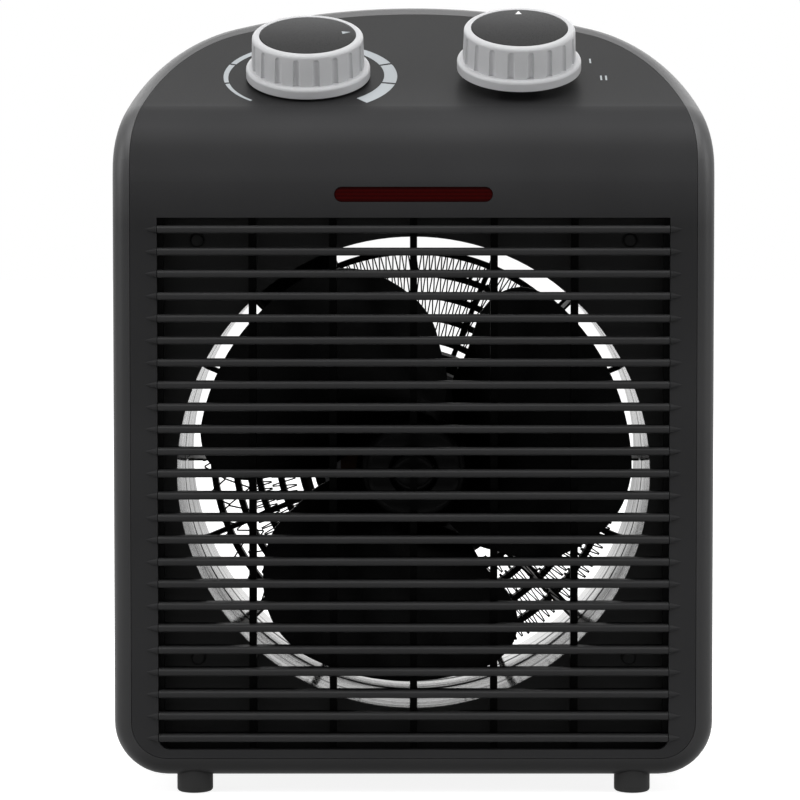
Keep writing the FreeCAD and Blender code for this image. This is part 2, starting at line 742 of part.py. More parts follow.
def motor_post_places():
    """Where the motor is screwed to the rear grille's disc."""
    radius = STATOR_R - YOKE_WIDTH / 2.0
    return [polar(radius, angle, 0) for angle in around(MOTOR_SCREWS, 90.0 / POLE_COUNT * 2.0)]


def bridge_back():
    """The back of the rear bearing carrier."""
    return STATOR_DEPTH + STATOR_LENGTH + BRIDGE_STAND + BRIDGE_THICK


def closed_field():
    """The one field between neighbouring spokes that is closed, from the rim inward."""
    outer = GRILLE_HOLE_R - RING_WIDTH / 2.0
    inner = RING_OUTER_R - CLOSED_RINGS * RING_PITCH
    plate = tube(outer, inner, 0, AXIS_Z, GRILLE_FRONT, BACK_INSIDE)
    start, end = around(SPOKE_COUNT)[CLOSED_SPOKE:CLOSED_SPOKE + 2]
    reach = GRILLE_HOLE_R + GRILLE_FLANGE
    corners = [at(0, GRILLE_FRONT, AXIS_Z), polar(reach, start, GRILLE_FRONT), polar(reach, end, GRILLE_FRONT)]
    face = Part.Face(Part.makePolygon(corners + corners[:1]))
    return plate.common(face.extrude(Y_AXIS * (BACK_INSIDE - GRILLE_FRONT)))


def rear_grille():
    back = BODY_DEPTH
    rim = (GRILLE_HOLE_R + GRILLE_FLANGE, GRILLE_HOLE_R - RING_WIDTH)
    adds = [tube(rim[0], rim[1], 0, AXIS_Z, GRILLE_FRONT, BACK_INSIDE)]
    adds.append(rod(DISC_R, 0, AXIS_Z, GRILLE_FRONT, back))
    for k in range(RING_COUNT):
        radius = RING_OUTER_R - k * RING_PITCH
        adds.append(tube(radius + RING_WIDTH / 2.0, radius - RING_WIDTH / 2.0, 0, AXIS_Z, GRILLE_FRONT, back))
    for angle in around(SPOKE_COUNT):
        low = (DISC_R - RING_WIDTH, GRILLE_FRONT, AXIS_Z - SPOKE_WIDTH / 2.0)
        high = (GRILLE_HOLE_R - RING_WIDTH / 2.0, BACK_INSIDE, AXIS_Z + SPOKE_WIDTH / 2.0)
        adds.append(about_axis(box(low, high), angle))
    adds.append(closed_field())
    for place in motor_post_places():
        adds.append(rod(MOTOR_POST_R, place.x, place.z, bridge_back(), GRILLE_FRONT))
    whole = fused(adds)
    cuts = []
    bite_end = bridge_back() + MOTOR_BITE
    for place in motor_post_places():
        cuts.append(rod(MOTOR_SCREW_R + SCREW_ROOM, place.x, place.z, bridge_back(), bite_end))
    for place in grille_screw_places():
        cuts.append(rod(GRILLE_SCREW_R + SCREW_ROOM, place.x, place.z, GRILLE_FRONT, BACK_INSIDE))
    return whole.cut(cuts)


def blade():
    """One broad blade on a screw surface, thickened along the depth."""
    steps = 8
    rows = []
    for share, start, end in reversed(BLADE_EDGE_SHARES):
        row = []
        for k in range(steps + 1):
            angle = start + (end - start) * k / steps
            depth = FAN_DEPTH + BLADE_RISE * (angle - BLADE_MIDDLE) / BLADE_TURN - BLADE_THICK / 2.0
            row.append(polar(FAN_R * share, angle, depth))
        rows.append(row)
    surface = Part.BSplineSurface()
    surface.interpolate(rows)
    return surface.toShape().extrude(Y_AXIS * BLADE_THICK)


def hub_ends():
    """The front and back of the fan's hub."""
    return FAN_DEPTH - HUB_LENGTH / 2.0, FAN_DEPTH + HUB_LENGTH / 2.0


def fan():
    front, back = hub_ends()
    hub = rod(HUB_R, 0, AXIS_Z, front, back)
    rim = [e for e in hub.Edges if e.Closed and abs(e.CenterOfMass.y - FRONT_Y - front) < SEAM_GAP]
    hub = hub.makeFillet(HUB_ROUND, rim)
    hollow = tube(HUB_R - HUB_WALL, HUB_CORE_R, 0, AXIS_Z, front + HUB_ROUND, back + OVERRUN)
    root = rod(HUB_R - HUB_WALL / 2.0, 0, AXIS_Z, front - OVERRUN, back + OVERRUN)
    first = blade().cut(root)
    blades = [about_axis(first, angle) for angle in around(FAN_BLADES)]
    whole = fused([hub.cut(hollow)] + blades)
    return whole.cut(rod(SHAFT_R, 0, AXIS_Z, front - OVERRUN, back + OVERRUN))


def fan_nut():
    front = hub_ends()[0]
    nut = rod(NUT_R, 0, AXIS_Z, front - NUT_LENGTH, front)
    end = at(0, front - NUT_LENGTH, AXIS_Z)
    rim = [e for e in nut.Edges if e.Closed and abs(e.CenterOfMass.y - end.y) < SEAM_GAP]
    nut = nut.makeFillet(NUT_LENGTH / 2.0, rim)
    return nut.cut(rod(SHAFT_R, 0, AXIS_Z, front - NUT_LENGTH / 2.0, front))


def motor_shaft():
    front = hub_ends()[0] - NUT_LENGTH / 2.0
    return rod(SHAFT_R, 0, AXIS_Z, front, bridge_back() + BRIDGE_THICK)


def motor_rotor():
    return tube(ROTOR_R, SHAFT_R, 0, AXIS_Z, STATOR_DEPTH, STATOR_DEPTH + STATOR_LENGTH)


def motor_stator():
    end = STATOR_DEPTH + STATOR_LENGTH
    inner = STATOR_R - YOKE_WIDTH
    adds = [tube(STATOR_R, inner, 0, AXIS_Z, STATOR_DEPTH, end)]
    for angle in around(POLE_COUNT):
        low = (0, STATOR_DEPTH, AXIS_Z - POLE_WIDTH / 2.0)
        high = (STATOR_R - YOKE_WIDTH / 2.0, end, AXIS_Z + POLE_WIDTH / 2.0)
        adds.append(about_axis(box(low, high), angle))
    whole = fused(adds)
    cuts = [rod(ROTOR_R + AIR_GAP, 0, AXIS_Z, STATOR_DEPTH - OVERRUN, end + OVERRUN)]
    for place in motor_post_places():
        cuts.append(rod(MOTOR_SCREW_R + SCREW_ROOM, place.x, place.z, STATOR_DEPTH - OVERRUN, end + OVERRUN))
    return whole.cut(cuts)


def motor_coils():
    end = STATOR_DEPTH + STATOR_LENGTH
    outer = STATOR_R - YOKE_WIDTH - COIL_ROOM
    inner = outer - COIL_LENGTH
    reach = POLE_WIDTH / 2.0
    wide = reach + COIL_THICK
    block = box((inner, STATOR_DEPTH - COIL_THICK, AXIS_Z - wide), (outer, end + COIL_THICK, AXIS_Z + wide))
    corners = [e for e in block.Edges if e.BoundBox.XLength > COIL_LENGTH - SEAM_GAP]
    block = block.makeFillet(COIL_THICK / 2.0, corners)
    hole = box((inner - OVERRUN, STATOR_DEPTH, AXIS_Z - reach), (outer + OVERRUN, end, AXIS_Z + reach))
    yoke = rod(STATOR_R - YOKE_WIDTH, 0, AXIS_Z, STATOR_DEPTH - OVERRUN, end + OVERRUN)
    coil = block.cut(hole).common(yoke)
    return Part.makeCompound([about_axis(coil, angle) for angle in around(POLE_COUNT)])


def bridge(face, way):
    """A bearing carrier: a strap with two legs that stand on the stator."""
    wide = STATOR_R * 2.0
    leg = sorted((face, face + way * (BRIDGE_STAND + BRIDGE_THICK)))
    plate = sorted((face + way * BRIDGE_STAND, face + way * (BRIDGE_STAND + BRIDGE_THICK)))
    strap = box((-wide / 2.0, plate[0], AXIS_Z - BUSH_R * 2.0), (wide / 2.0, plate[1], AXIS_Z + BUSH_R * 2.0))
    strap = strap.common(rod(STATOR_R, 0, AXIS_Z, plate[0], plate[1]))
    legs = [rod(MOTOR_POST_R - SCREW_ROOM, p.x, p.z, leg[0], leg[1]) for p in motor_post_places()]
    turn = 90.0 / POLE_COUNT * 2.0
    strap = about_axis(strap, turn)
    whole = fused([strap] + legs)
    cuts = [rod(BUSH_R, 0, AXIS_Z, plate[0] - OVERRUN, plate[1] + OVERRUN)]
    for place in motor_post_places():
        cuts.append(rod(MOTOR_SCREW_R + SCREW_ROOM, place.x, place.z, leg[0] - OVERRUN, leg[1] + OVERRUN))
    return whole.cut(cuts)


def bush(middle):
    """A plain bearing for the shaft."""
    half = BUSH_LENGTH / 2.0
    return tube(BUSH_R, SHAFT_R + SHAFT_ROOM, 0, AXIS_Z, middle - half, middle + half)


def bridge_middles():
    """The middle of each bearing carrier's plate."""
    half = BRIDGE_STAND + BRIDGE_THICK / 2.0
    return STATOR_DEPTH - half, STATOR_DEPTH + STATOR_LENGTH + half


def motor_screws():
    seat = STATOR_DEPTH - BRIDGE_STAND - BRIDGE_THICK
    length = bridge_back() - seat + MOTOR_BITE
    made = []
    for place in motor_post_places():
        made.append(screw(MOTOR_SCREW_R, length, MOTOR_HEAD_R, MOTOR_HEAD, place.x, place.z, seat, 1))
    return Part.makeCompound(made)


def row_bounds():
    """The inner and outer radius of each row of heating wire."""
    step = (ROW_OUTER_R - ROW_INNER_R + ROW_GAP) / ROW_COUNT
    return [(ROW_INNER_R + k * step, ROW_INNER_R + (k + 1) * step - ROW_GAP) for k in range(ROW_COUNT)]


def mica_hub():
    return tube(HUB_CARD_R, HUB_CARD_R - HUB_CARD_THICK, 0, AXIS_Z, CARD_FRONT, CARD_REAR)


def mica_cards():
    """Radial cards; teeth on the front edge keep the rows of wire apart."""
    outer = DUCT_R - CARD_ROOM
    low = (HUB_CARD_R, CARD_FRONT, AXIS_Z - CARD_THICK / 2.0)
    high = (outer - CARD_THICK, CARD_REAR, AXIS_Z + CARD_THICK / 2.0)
    adds = [box(low, high)]
    middles = [inner - ROW_GAP / 2.0 for inner, _ in row_bounds()] + [ROW_OUTER_R + ROW_GAP / 2.0]
    for radius in middles:
        half = CARD_TOOTH_WIDTH / 2.0
        tooth = (radius - half, CARD_FRONT - CARD_TOOTH, low[2])
        adds.append(box(tooth, (radius + half, CARD_FRONT, high[2])))
    adds.append(box((outer - CARD_THICK, CARD_FRONT, low[2]), (outer, CARD_REAR, high[2])))
    card = fused(adds)
    return Part.makeCompound([about_axis(card, angle) for angle in around(CARD_COUNT)])


def wire_path(row):
    """The corners of one row of resistance wire: a zigzag that runs once round, open at its ends."""
    inner, outer = row_bounds()[row]
    waves = ROW_WAVE_COUNT[row]
    sweep = 360.0 - 2.0 * WIRE_START
    path = []
    for k in range(2 * waves + 1):
        radius = inner + WIRE if k % 2 == 0 else outer - WIRE
        turn = math.radians(WIRE_GAP_ANGLE + WIRE_START + sweep * k / (2.0 * waves))
        path.append((radius * math.cos(turn), radius * math.sin(turn)))
    return path


def wire_gap(row):
    """The least gap between two runs of a row that don't share a corner."""
    path = wire_path(row)
    runs = [Part.makeLine(at(a[0], 0, a[1]), at(b[0], 0, b[1])) for a, b in zip(path, path[1:])]
    ahead = 2
    return min(runs[k].distToShape(runs[k + ahead])[0] for k in range(len(runs) - ahead)) - WIRE


def element_wire(row):
    """One row of resistance wire as a flat zigzag strip."""
    path = wire_path(row)
    half = WIRE / 2.0
    left = []
    right = []
    for k, point in enumerate(path):
        before = path[max(k - 1, 0)]
        after = path[min(k + 1, len(path) - 1)]
        first = unit(before, point) if k else unit(point, after)
        second = unit(point, after) if k < len(path) - 1 else first
        mitre = (-first[1] - second[1], first[0] + second[0])
        scale = half / (0.5 * (mitre[0] ** 2 + mitre[1] ** 2))
        left.append((point[0] + mitre[0] * scale, point[1] + mitre[1] * scale))
        right.append((point[0] - mitre[0] * scale, point[1] - mitre[1] * scale))
    corners = [at(x, CARD_FRONT - WIRE, AXIS_Z + z) for x, z in left + right[::-1]]
    return Part.Face(Part.makePolygon(corners + corners[:1])).extrude(Y_AXIS * WIRE)


def unit(a, b):
    """The direction from one plane point to another."""
    length = math.hypot(b[0] - a[0], b[1] - a[1])
    return (b[0] - a[0]) / length, (b[1] - a[1]) / length


def thermal_fuse():
    inner = row_bounds()[1][0]
    depth = (CARD_FRONT + CARD_REAR) / 2.0
    z = AXIS_Z + CARD_THICK / 2.0 + FUSE_R
    return Part.makeCylinder(FUSE_R, FUSE_LENGTH, at(inner, depth, z), X_AXIS)


def thermal_cutout():
    """A snap-disc cut-out whose foot follows the duct's round back."""
    outer = DUCT_R + DUCT_THICK
    foot = at(0, CUTOUT_DEPTH, AXIS_Z + outer - WALL)
    can = Part.makeCylinder(CUTOUT_R, CUTOUT_HEIGHT + WALL, foot, Z_AXIS)
    pin_x = CUTOUT_R / 2.0
    pins = [box((x - pin_x / 2.0, CUTOUT_DEPTH - WALL / 4.0, foot.z + CUTOUT_HEIGHT),
                (x + pin_x / 2.0, CUTOUT_DEPTH + WALL / 4.0, foot.z + CUTOUT_HEIGHT + CUTOUT_R))
            for x in (-pin_x, pin_x)]
    whole = fused([can] + pins).cut(rod(outer, 0, AXIS_Z, 0, BODY_DEPTH))
    return about_axis(whole, CUTOUT_ANGLE - 90.0)


def panel_nut():
    """A hexagonal nut on the panel, round a control's threaded neck."""
    radius = PANEL_NUT_FLATS / math.sqrt(3.0)
    corners = []
    for angle in around(6):
        turn = math.radians(angle)
        corners.append(FreeCAD.Vector(radius * math.cos(turn), radius * math.sin(turn), 0))
    prism = Part.Face(Part.makePolygon(corners + corners[:1])).extrude(Z_AXIS * PANEL_NUT)
    return prism.cut(disc(NECK_R, -OVERRUN, OVERRUN))


def control_body():
    """The box of a control under the panel, with the threaded neck that comes through it."""
    top = -COVER_THICK
    corner = FreeCAD.Vector(-CONTROL_WIDTH / 2.0, -CONTROL_LENGTH / 2.0, top - CONTROL_HEIGHT)
    block = Part.makeBox(CONTROL_WIDTH, CONTROL_LENGTH, CONTROL_HEIGHT, corner)
    uprights = [e for e in block.Edges if e.BoundBox.ZLength > CONTROL_HEIGHT - SEAM_GAP]
    block = block.makeFillet(WALL, uprights)
    whole = fused([block, disc(NECK_R, top, NECK_HEIGHT)])
    return whole.cut(disc(KNOB_PIN_R + SHAFT_ROOM, top - SPINDLE_SET, NECK_HEIGHT + OVERRUN))


def spindle(stand):
    """A control's spindle, up into the knob."""
    gap = SHAFT_ROOM * 2.0
    return disc(KNOB_PIN_R, gap - COVER_THICK - SPINDLE_SET, pin_top(stand))


def pin_top(stand):
    """The top of the spindle inside the knob."""
    return stand + KNOB_HEIGHT - KNOB_CAP - KNOB_WALL


def knob(stand):
    """A fluted knob with a flange below, hollow underneath, on its spindle."""
    flange = disc(KNOB_FLANGE_R, stand, stand + KNOB_FLANGE)
    upper = [e for e in flange.Edges if e.Closed and e.CenterOfMass.z > stand + SEAM_GAP]
    flange = flange.makeFillet(KNOB_ROUND, upper)
    top = stand + KNOB_HEIGHT
    body = Part.makeCone(KNOB_R, KNOB_R - KNOB_TAPER, KNOB_HEIGHT, FreeCAD.Vector(0, 0, stand))
    upper = [e for e in body.Edges if e.Closed and e.CenterOfMass.z > stand + SEAM_GAP]
    body = body.makeFillet(KNOB_ROUND, upper)
    flute_end = top - KNOB_FLUTE_TOP - KNOB_FLUTE_R
    flute = disc(KNOB_FLUTE_R, stand + KNOB_FLANGE, flute_end)
    flute = fused([flute, Part.makeSphere(KNOB_FLUTE_R, FreeCAD.Vector(0, 0, flute_end))])
    reach = KNOB_R + KNOB_FLUTE_R - KNOB_FLUTE_CUT
    flutes = []
    for angle in around(KNOB_FLUTES):
        cut = flute.copy()
        turn = math.radians(angle)
        cut.translate(FreeCAD.Vector(reach * math.cos(turn), reach * math.sin(turn), 0))
        flutes.append(cut)
    whole = fused([body.cut(flutes), flange])
    ceiling = top - KNOB_CAP - KNOB_WALL
    inside = KNOB_R - KNOB_FLUTE_CUT - KNOB_WALL
    core = ceiling - KNOB_PIN_LENGTH
    cuts = [disc(inside, stand - OVERRUN, core)]
    cuts.append(disc(inside, core, ceiling).cut(disc(KNOB_CORE_R, core, ceiling)))
    cuts.append(disc(KNOB_PIN_R, core - OVERRUN, ceiling))
    cuts.append(disc(KNOB_CAP_R + KNOB_CAP_ROOM, top - KNOB_CAP, top + OVERRUN))
    return whole.cut(cuts)


def knob_cap(stand):
    """The inset cap on a knob."""
    top = stand + KNOB_HEIGHT
    cap = disc(KNOB_CAP_R, top - KNOB_CAP, top)
    upper = [e for e in cap.Edges if e.Closed and e.CenterOfMass.z > top - SEAM_GAP]
    return cap.makeFillet(KNOB_CAP / 4.0, upper)


def foot(form, x, depth):
    """A round foot that follows the casing's rounded edge, with a stem through the floor."""
    pad = upright(FOOT_R, x, depth, 0, FOOT_HEIGHT + RIM_R)
    low = [e for e in pad.Edges if e.Closed and e.CenterOfMass.z < SEAM_GAP]
    pad = pad.makeFillet(FOOT_ROUND, low).cut(form)
    return fused([pad, upright(FOOT_STEM_R, x, depth, FOOT_ROUND, BODY_FLOOR + FOOT_STEM_RISE)])


def cord_gland():
    inside = BACK_INSIDE - GLAND_INSIDE
    back = BODY_DEPTH + GLAND_PROUD
    neck = rod(GLAND_NECK_R, GLAND_X, GLAND_Z, inside, BODY_DEPTH)
    flange = rod(GLAND_FLANGE_R, GLAND_X, GLAND_Z, BODY_DEPTH, back)
    rim = [e for e in flange.Edges if e.Closed and abs(e.CenterOfMass.y - FRONT_Y - back) < SEAM_GAP]
    flange = flange.makeFillet(GLAND_PROUD / 2.0, rim)
    lip = rod(GLAND_LIP_R, GLAND_X, GLAND_Z, BACK_INSIDE - GLAND_LIP, BACK_INSIDE)
    whole = fused([neck, flange, lip])
    return whole.cut(rod(GLAND_BORE_R, GLAND_X, GLAND_Z, inside - OVERRUN, back + OVERRUN))


def cord_clamp():
    """A bar that presses the lead on its pad, arched over the lead."""
    front, back = clamp_depths()
    half = CLAMP_LENGTH / 2.0
    bar = box((GLAND_X - half, front, pad_top()), (GLAND_X + half, back, pad_top() + CLAMP_HEIGHT))
    arch = rod(GLAND_BORE_R, GLAND_X, GLAND_Z, front, back)
    side = (GLAND_X - GLAND_BORE_R, GLAND_X + GLAND_BORE_R)
    legs = box((side[0], front, pad_top()), (side[1], back, GLAND_Z))
    middle = (front + back) / 2.0
    top = pad_top() + CLAMP_HEIGHT
    holes = [upright(CLAMP_SCREW_R + SCREW_ROOM, x, middle, pad_top(), top) for x in clamp_places()]
    return bar.cut([arch, legs] + holes)


def clamp_screws():
    front, back = clamp_depths()
    middle = (front + back) / 2.0
    top = pad_top() + CLAMP_HEIGHT
    made = []
    for x in clamp_places():
        shank = upright(CLAMP_SCREW_R, x, middle, pad_top() - CLAMP_BITE, top)
        made.append(fused([shank, upright(CLAMP_HEAD_R, x, middle, top, top + CLAMP_HEAD)]))
    return Part.makeCompound(made)


def terminal_block():
    """A row of insulated clamps on the casing's floor."""
    half = BLOCK_LENGTH / 2.0
    middle = BODY_DEPTH / 2.0
    low = (BLOCK_X - BLOCK_WIDTH, middle - half, BODY_FLOOR)
    high = (BLOCK_X, middle + half, BODY_FLOOR + BLOCK_HEIGHT)
    block = box(low, high)
    cuts = []
    for k in range(BLOCK_WAYS):
        depth = middle + (k - (BLOCK_WAYS - 1) / 2.0) * BLOCK_LENGTH / BLOCK_WAYS
        z = BODY_FLOOR + BLOCK_HEIGHT / 2.0
        cuts.append(Part.makeCylinder(BLOCK_HOLE_R, BLOCK_WIDTH, at(low[0], depth, z), X_AXIS))
        cuts.append(upright(BLOCK_HOLE_R, low[0] + BLOCK_WIDTH / 2.0, depth, z, high[2]))
    return block.cut(cuts)


def build():
    form = casing_form()
    front_middle, rear_middle = bridge_middles()
    rear_face = STATOR_DEPTH + STATOR_LENGTH
    nodes = {
        "rear_shell": rear_shell(form),
        "front_cover": front_cover(),
        "front_grille": front_grille(),
        "indicator_lens": indicator_lens(),
        "lamp_holder": lamp_holder(),
        "indicator_lamp": indicator_lamp(),
        "baffle_plate": baffle_plate(),
        "baffle_screws": baffle_screws(),
        "cover_screws": cover_screws(),
        "rear_grille": rear_grille(),
        "rear_grille_screws": rear_grille_screws(),
        "heat_duct": heat_duct(),
        "fan": fan(),
        "fan_nut": fan_nut(),
        "motor_shaft": motor_shaft(),
        "motor_rotor": motor_rotor(),
        "motor_stator": motor_stator(),
        "motor_coils": motor_coils(),
        "motor_front_bridge": bridge(STATOR_DEPTH, -1),
        "motor_rear_bridge": bridge(rear_face, 1),
        "motor_front_bush": bush(front_middle),
        "motor_rear_bush": bush(rear_middle),
        "motor_screws": motor_screws(),
        "mica_hub": mica_hub(),
        "mica_cards": mica_cards(),
        "thermal_fuse": thermal_fuse(),
        "thermal_cutout": thermal_cutout(),
        "cord_gland": cord_gland(),
        "cord_clamp": cord_clamp(),
        "clamp_screws": clamp_screws(),
        "terminal_block": terminal_block(),
    }
    for row in range(ROW_COUNT):
        nodes["element_wire_%d" % (row + 1)] = element_wire(row)
    for name, x, stand in (("thermostat", -KNOB_X, THERMOSTAT_STAND), ("switch", KNOB_X, SWITCH_STAND)):
        nodes[name + "_body"] = on_panel(control_body(), x)
        nodes[name + "_nut"] = on_panel(panel_nut(), x)
        nodes[name + "_spindle"] = on_panel(spindle(stand), x)
        nodes[name + "_knob"] = on_panel(knob(stand), x)
        nodes[name + "_knob_cap"] = on_panel(knob_cap(stand), x)
    names = ["left_front_foot", "left_rear_foot", "right_front_foot", "right_rear_foot"]
    for name, (x, depth) in zip(names, foot_places()):
        nodes[name] = foot(form, x, depth)
    return nodes


def main():
    os.makedirs("parts", exist_ok=True)
    for row in range(ROW_COUNT):
        print("least gap in wire row", row + 1, round(wire_gap(row), 2))
    for name, shape in build().items():
        print(name, shape.isValid(), len(shape.Solids), round(shape.Volume, 1))
        shape.exportStep("parts/%s.step" % name)


main()
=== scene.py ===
import json
import math
import random

import bpy
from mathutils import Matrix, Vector


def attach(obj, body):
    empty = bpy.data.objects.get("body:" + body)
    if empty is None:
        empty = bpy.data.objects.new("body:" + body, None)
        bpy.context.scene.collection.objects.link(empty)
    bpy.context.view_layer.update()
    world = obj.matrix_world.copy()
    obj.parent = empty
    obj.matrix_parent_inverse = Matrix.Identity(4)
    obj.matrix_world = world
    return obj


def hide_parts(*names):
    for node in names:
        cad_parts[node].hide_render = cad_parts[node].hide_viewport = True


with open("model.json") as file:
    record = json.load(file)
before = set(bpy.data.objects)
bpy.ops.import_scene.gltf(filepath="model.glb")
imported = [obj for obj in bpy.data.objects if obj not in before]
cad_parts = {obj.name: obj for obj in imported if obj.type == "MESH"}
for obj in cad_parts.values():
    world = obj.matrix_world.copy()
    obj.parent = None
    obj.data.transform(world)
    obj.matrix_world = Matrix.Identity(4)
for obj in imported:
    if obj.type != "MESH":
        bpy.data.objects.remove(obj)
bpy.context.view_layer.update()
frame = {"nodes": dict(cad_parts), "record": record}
SCENE = bpy.context.scene

# Sizes of the CAD that the finishes and pieces here follow, in mm
MM = 0.001
FRONT_Y = -55.0
FLOOR_Z = 0.0
AXIS_Z = 106.1
LENS_Z = 199.9
PANEL_ANGLE = math.radians(24.9)
FOOT_Y = -16.360
FOOT_Z = 239.835
KNOB_X = {"thermostat": -36.0, "switch": 36.0}
KNOB_STAND = {"thermostat": 0.9, "switch": 3.6}
KNOB_HEIGHT = 14.6

# The range that most of a noise texture's values lie in, and its settings
NOISE_LOW = 0.3
NOISE_HIGH = 0.7
NOISE_ROUGH = 0.55
WIDE_DETAIL = 2.0
FINE_DETAIL = 3.0
SMOOTHEST = 0.02
# The lens's ribs: how fine they are, and where the change of colour starts and ends
RIB_SCALE = 260.0
RIB_START = 0.2
RIB_END = 0.8
# Where a colour ramp's new stops are until they get their places
HALFWAY = 0.5


# Materials
def principled(made):
    return next(n for n in made.node_tree.nodes if n.type == "BSDF_PRINCIPLED")


def noise(tree, vector, scale, detail):
    made = tree.nodes.new("ShaderNodeTexNoise")
    made.inputs["Scale"].default_value = scale
    made.inputs["Detail"].default_value = detail
    made.inputs["Roughness"].default_value = NOISE_ROUGH
    tree.links.new(vector, made.inputs["Vector"])
    return made.outputs[0]


def ramp(tree, value, low, high, start=NOISE_LOW, end=NOISE_HIGH):
    """A colour between two, by a value."""
    made = tree.nodes.new("ShaderNodeValToRGB")
    first, last = made.color_ramp.elements
    first.position = start
    last.position = end
    first.color = (*low, 1.0)
    last.color = (*high, 1.0)
    tree.links.new(value, made.inputs["Fac"])
    return made.outputs["Color"]


def spread(tree, value, low, high, start=NOISE_LOW, end=NOISE_HIGH):
    """A number between two, by a value."""
    made = tree.nodes.new("ShaderNodeMapRange")
    made.inputs["From Min"].default_value = start
    made.inputs["From Max"].default_value = end
    made.inputs["To Min"].default_value = low
    made.inputs["To Max"].default_value = high
    tree.links.new(value, made.inputs["Value"])
    return made.outputs["Result"]


def bumped(tree, bsdf, height, strength, distance):
    made = tree.nodes.new("ShaderNodeBump")
    made.inputs["Strength"].default_value = strength
    made.inputs["Distance"].default_value = distance
    tree.links.new(height, made.inputs["Height"])
    tree.links.new(made.outputs["Normal"], bsdf.inputs["Normal"])


def clouded(tree, place, color, tint, broad):
    """A colour with broad tone changes."""
    low = tuple(c * (1.0 - tint) for c in color)
    high = tuple(min(1.0, c * (1.0 + tint)) for c in color)
    return ramp(tree, noise(tree, place, broad, WIDE_DETAIL), low, high)


def ribbed(tree, place, color, ribs):
    """A colour with fine level ribs in another."""
    wave = tree.nodes.new("ShaderNodeTexWave")
    wave.bands_direction = "Z"
    wave.inputs["Scale"].default_value = RIB_SCALE
    wave.inputs["Distortion"].default_value = 0.0
    tree.links.new(place, wave.inputs["Vector"])
    return ramp(tree, wave.outputs[0], color, ribs, RIB_START, RIB_END)


def surface(name, color, rough, grain, bump, metallic=0.0, tint=0.08, stretch=(1, 1, 1), broad=22.0,
            swing=0.06, specular=0.5, depth=0.0001, ribs=None):
    """A finish with changes of tone or ribs, fine grain in its roughness and a fine relief."""
    made = bpy.data.materials.new(name)
    made.use_nodes = True
    tree = made.node_tree
    bsdf = principled(made)
    place = tree.nodes.new("ShaderNodeTexCoord").outputs["Object"]
    drawn = tree.nodes.new("ShaderNodeMapping")
    drawn.inputs["Scale"].default_value = stretch
    tree.links.new(place, drawn.inputs["Vector"])
    fine = noise(tree, drawn.outputs["Vector"], grain, FINE_DETAIL)
    tone = ribbed(tree, place, color, ribs) if ribs else clouded(tree, place, color, tint, broad)
    tree.links.new(tone, bsdf.inputs["Base Color"])
    matt = spread(tree, fine, max(SMOOTHEST, rough - swing), rough + swing)
    tree.links.new(matt, bsdf.inputs["Roughness"])
    bsdf.inputs["Metallic"].default_value = metallic
    bsdf.inputs["Specular IOR Level"].default_value = specular
    bumped(tree, bsdf, fine, bump, depth)
    return made


def tones(tree, axis, start, stops):
    """Grey tones along an axis, from stops in mm beyond the start."""
    place = tree.nodes.new("ShaderNodeNewGeometry")
    split = tree.nodes.new("ShaderNodeSeparateXYZ")
    tree.links.new(place.outputs["Position"], split.inputs[0])
    near, far = stops[0][0], stops[-1][0]
    span = tree.nodes.new("ShaderNodeMapRange")
    span.inputs["From Min"].default_value = (start + near) * MM
    span.inputs["From Max"].default_value = (start + far) * MM
    tree.links.new(split.outputs[axis], span.inputs["Value"])
    made = tree.nodes.new("ShaderNodeValToRGB")
    marks = made.color_ramp.elements
    while len(marks) < len(stops):
        marks.new(HALFWAY)
    # The stops get their places before their tones, because a move can change their order
    for mark, (reach, _) in zip(marks, stops):
        mark.position = (reach - near) / (far - near)
    for mark, (_, level) in zip(marks, stops):
        mark.color = (level, level, level, 1.0)
    tree.links.new(span.outputs["Result"], made.inputs["Fac"])
    return made.outputs["Color"]


def paint_light_along(made, axis, start, stops, shine=None, metal=False, edge=False):
    """Paints light and shade into a finish's colour along an axis, and into its shine, metal or edge tint
    if asked.
    """
    tree = made.node_tree
    bsdf = principled(made)
    tone = tones(tree, axis, start, stops)
    join = tree.nodes.new("ShaderNodeMix")
    join.data_type = "RGBA"
    join.blend_type = "MULTIPLY"
    join.inputs[0].default_value = 1.0
    colour = bsdf.inputs["Base Color"].links[0].from_socket
    first, second = [i for i in join.inputs if i.type == "RGBA"]
    tree.links.new(colour, first)
    tree.links.new(tone, second)
    tree.links.new(next(o for o in join.outputs if o.type == "RGBA"), bsdf.inputs["Base Color"])
    if shine is not None:
        level = tree.nodes.new("ShaderNodeMath")
        level.operation = "MULTIPLY"
        level.inputs[1].default_value = shine
        tree.links.new(tone, level.inputs[0])
        tree.links.new(level.outputs[0], bsdf.inputs["Specular IOR Level"])
    if metal:
        tree.links.new(tone, bsdf.inputs["Metallic"])
    if edge:
        tree.links.new(tone, bsdf.inputs["Specular Tint"])


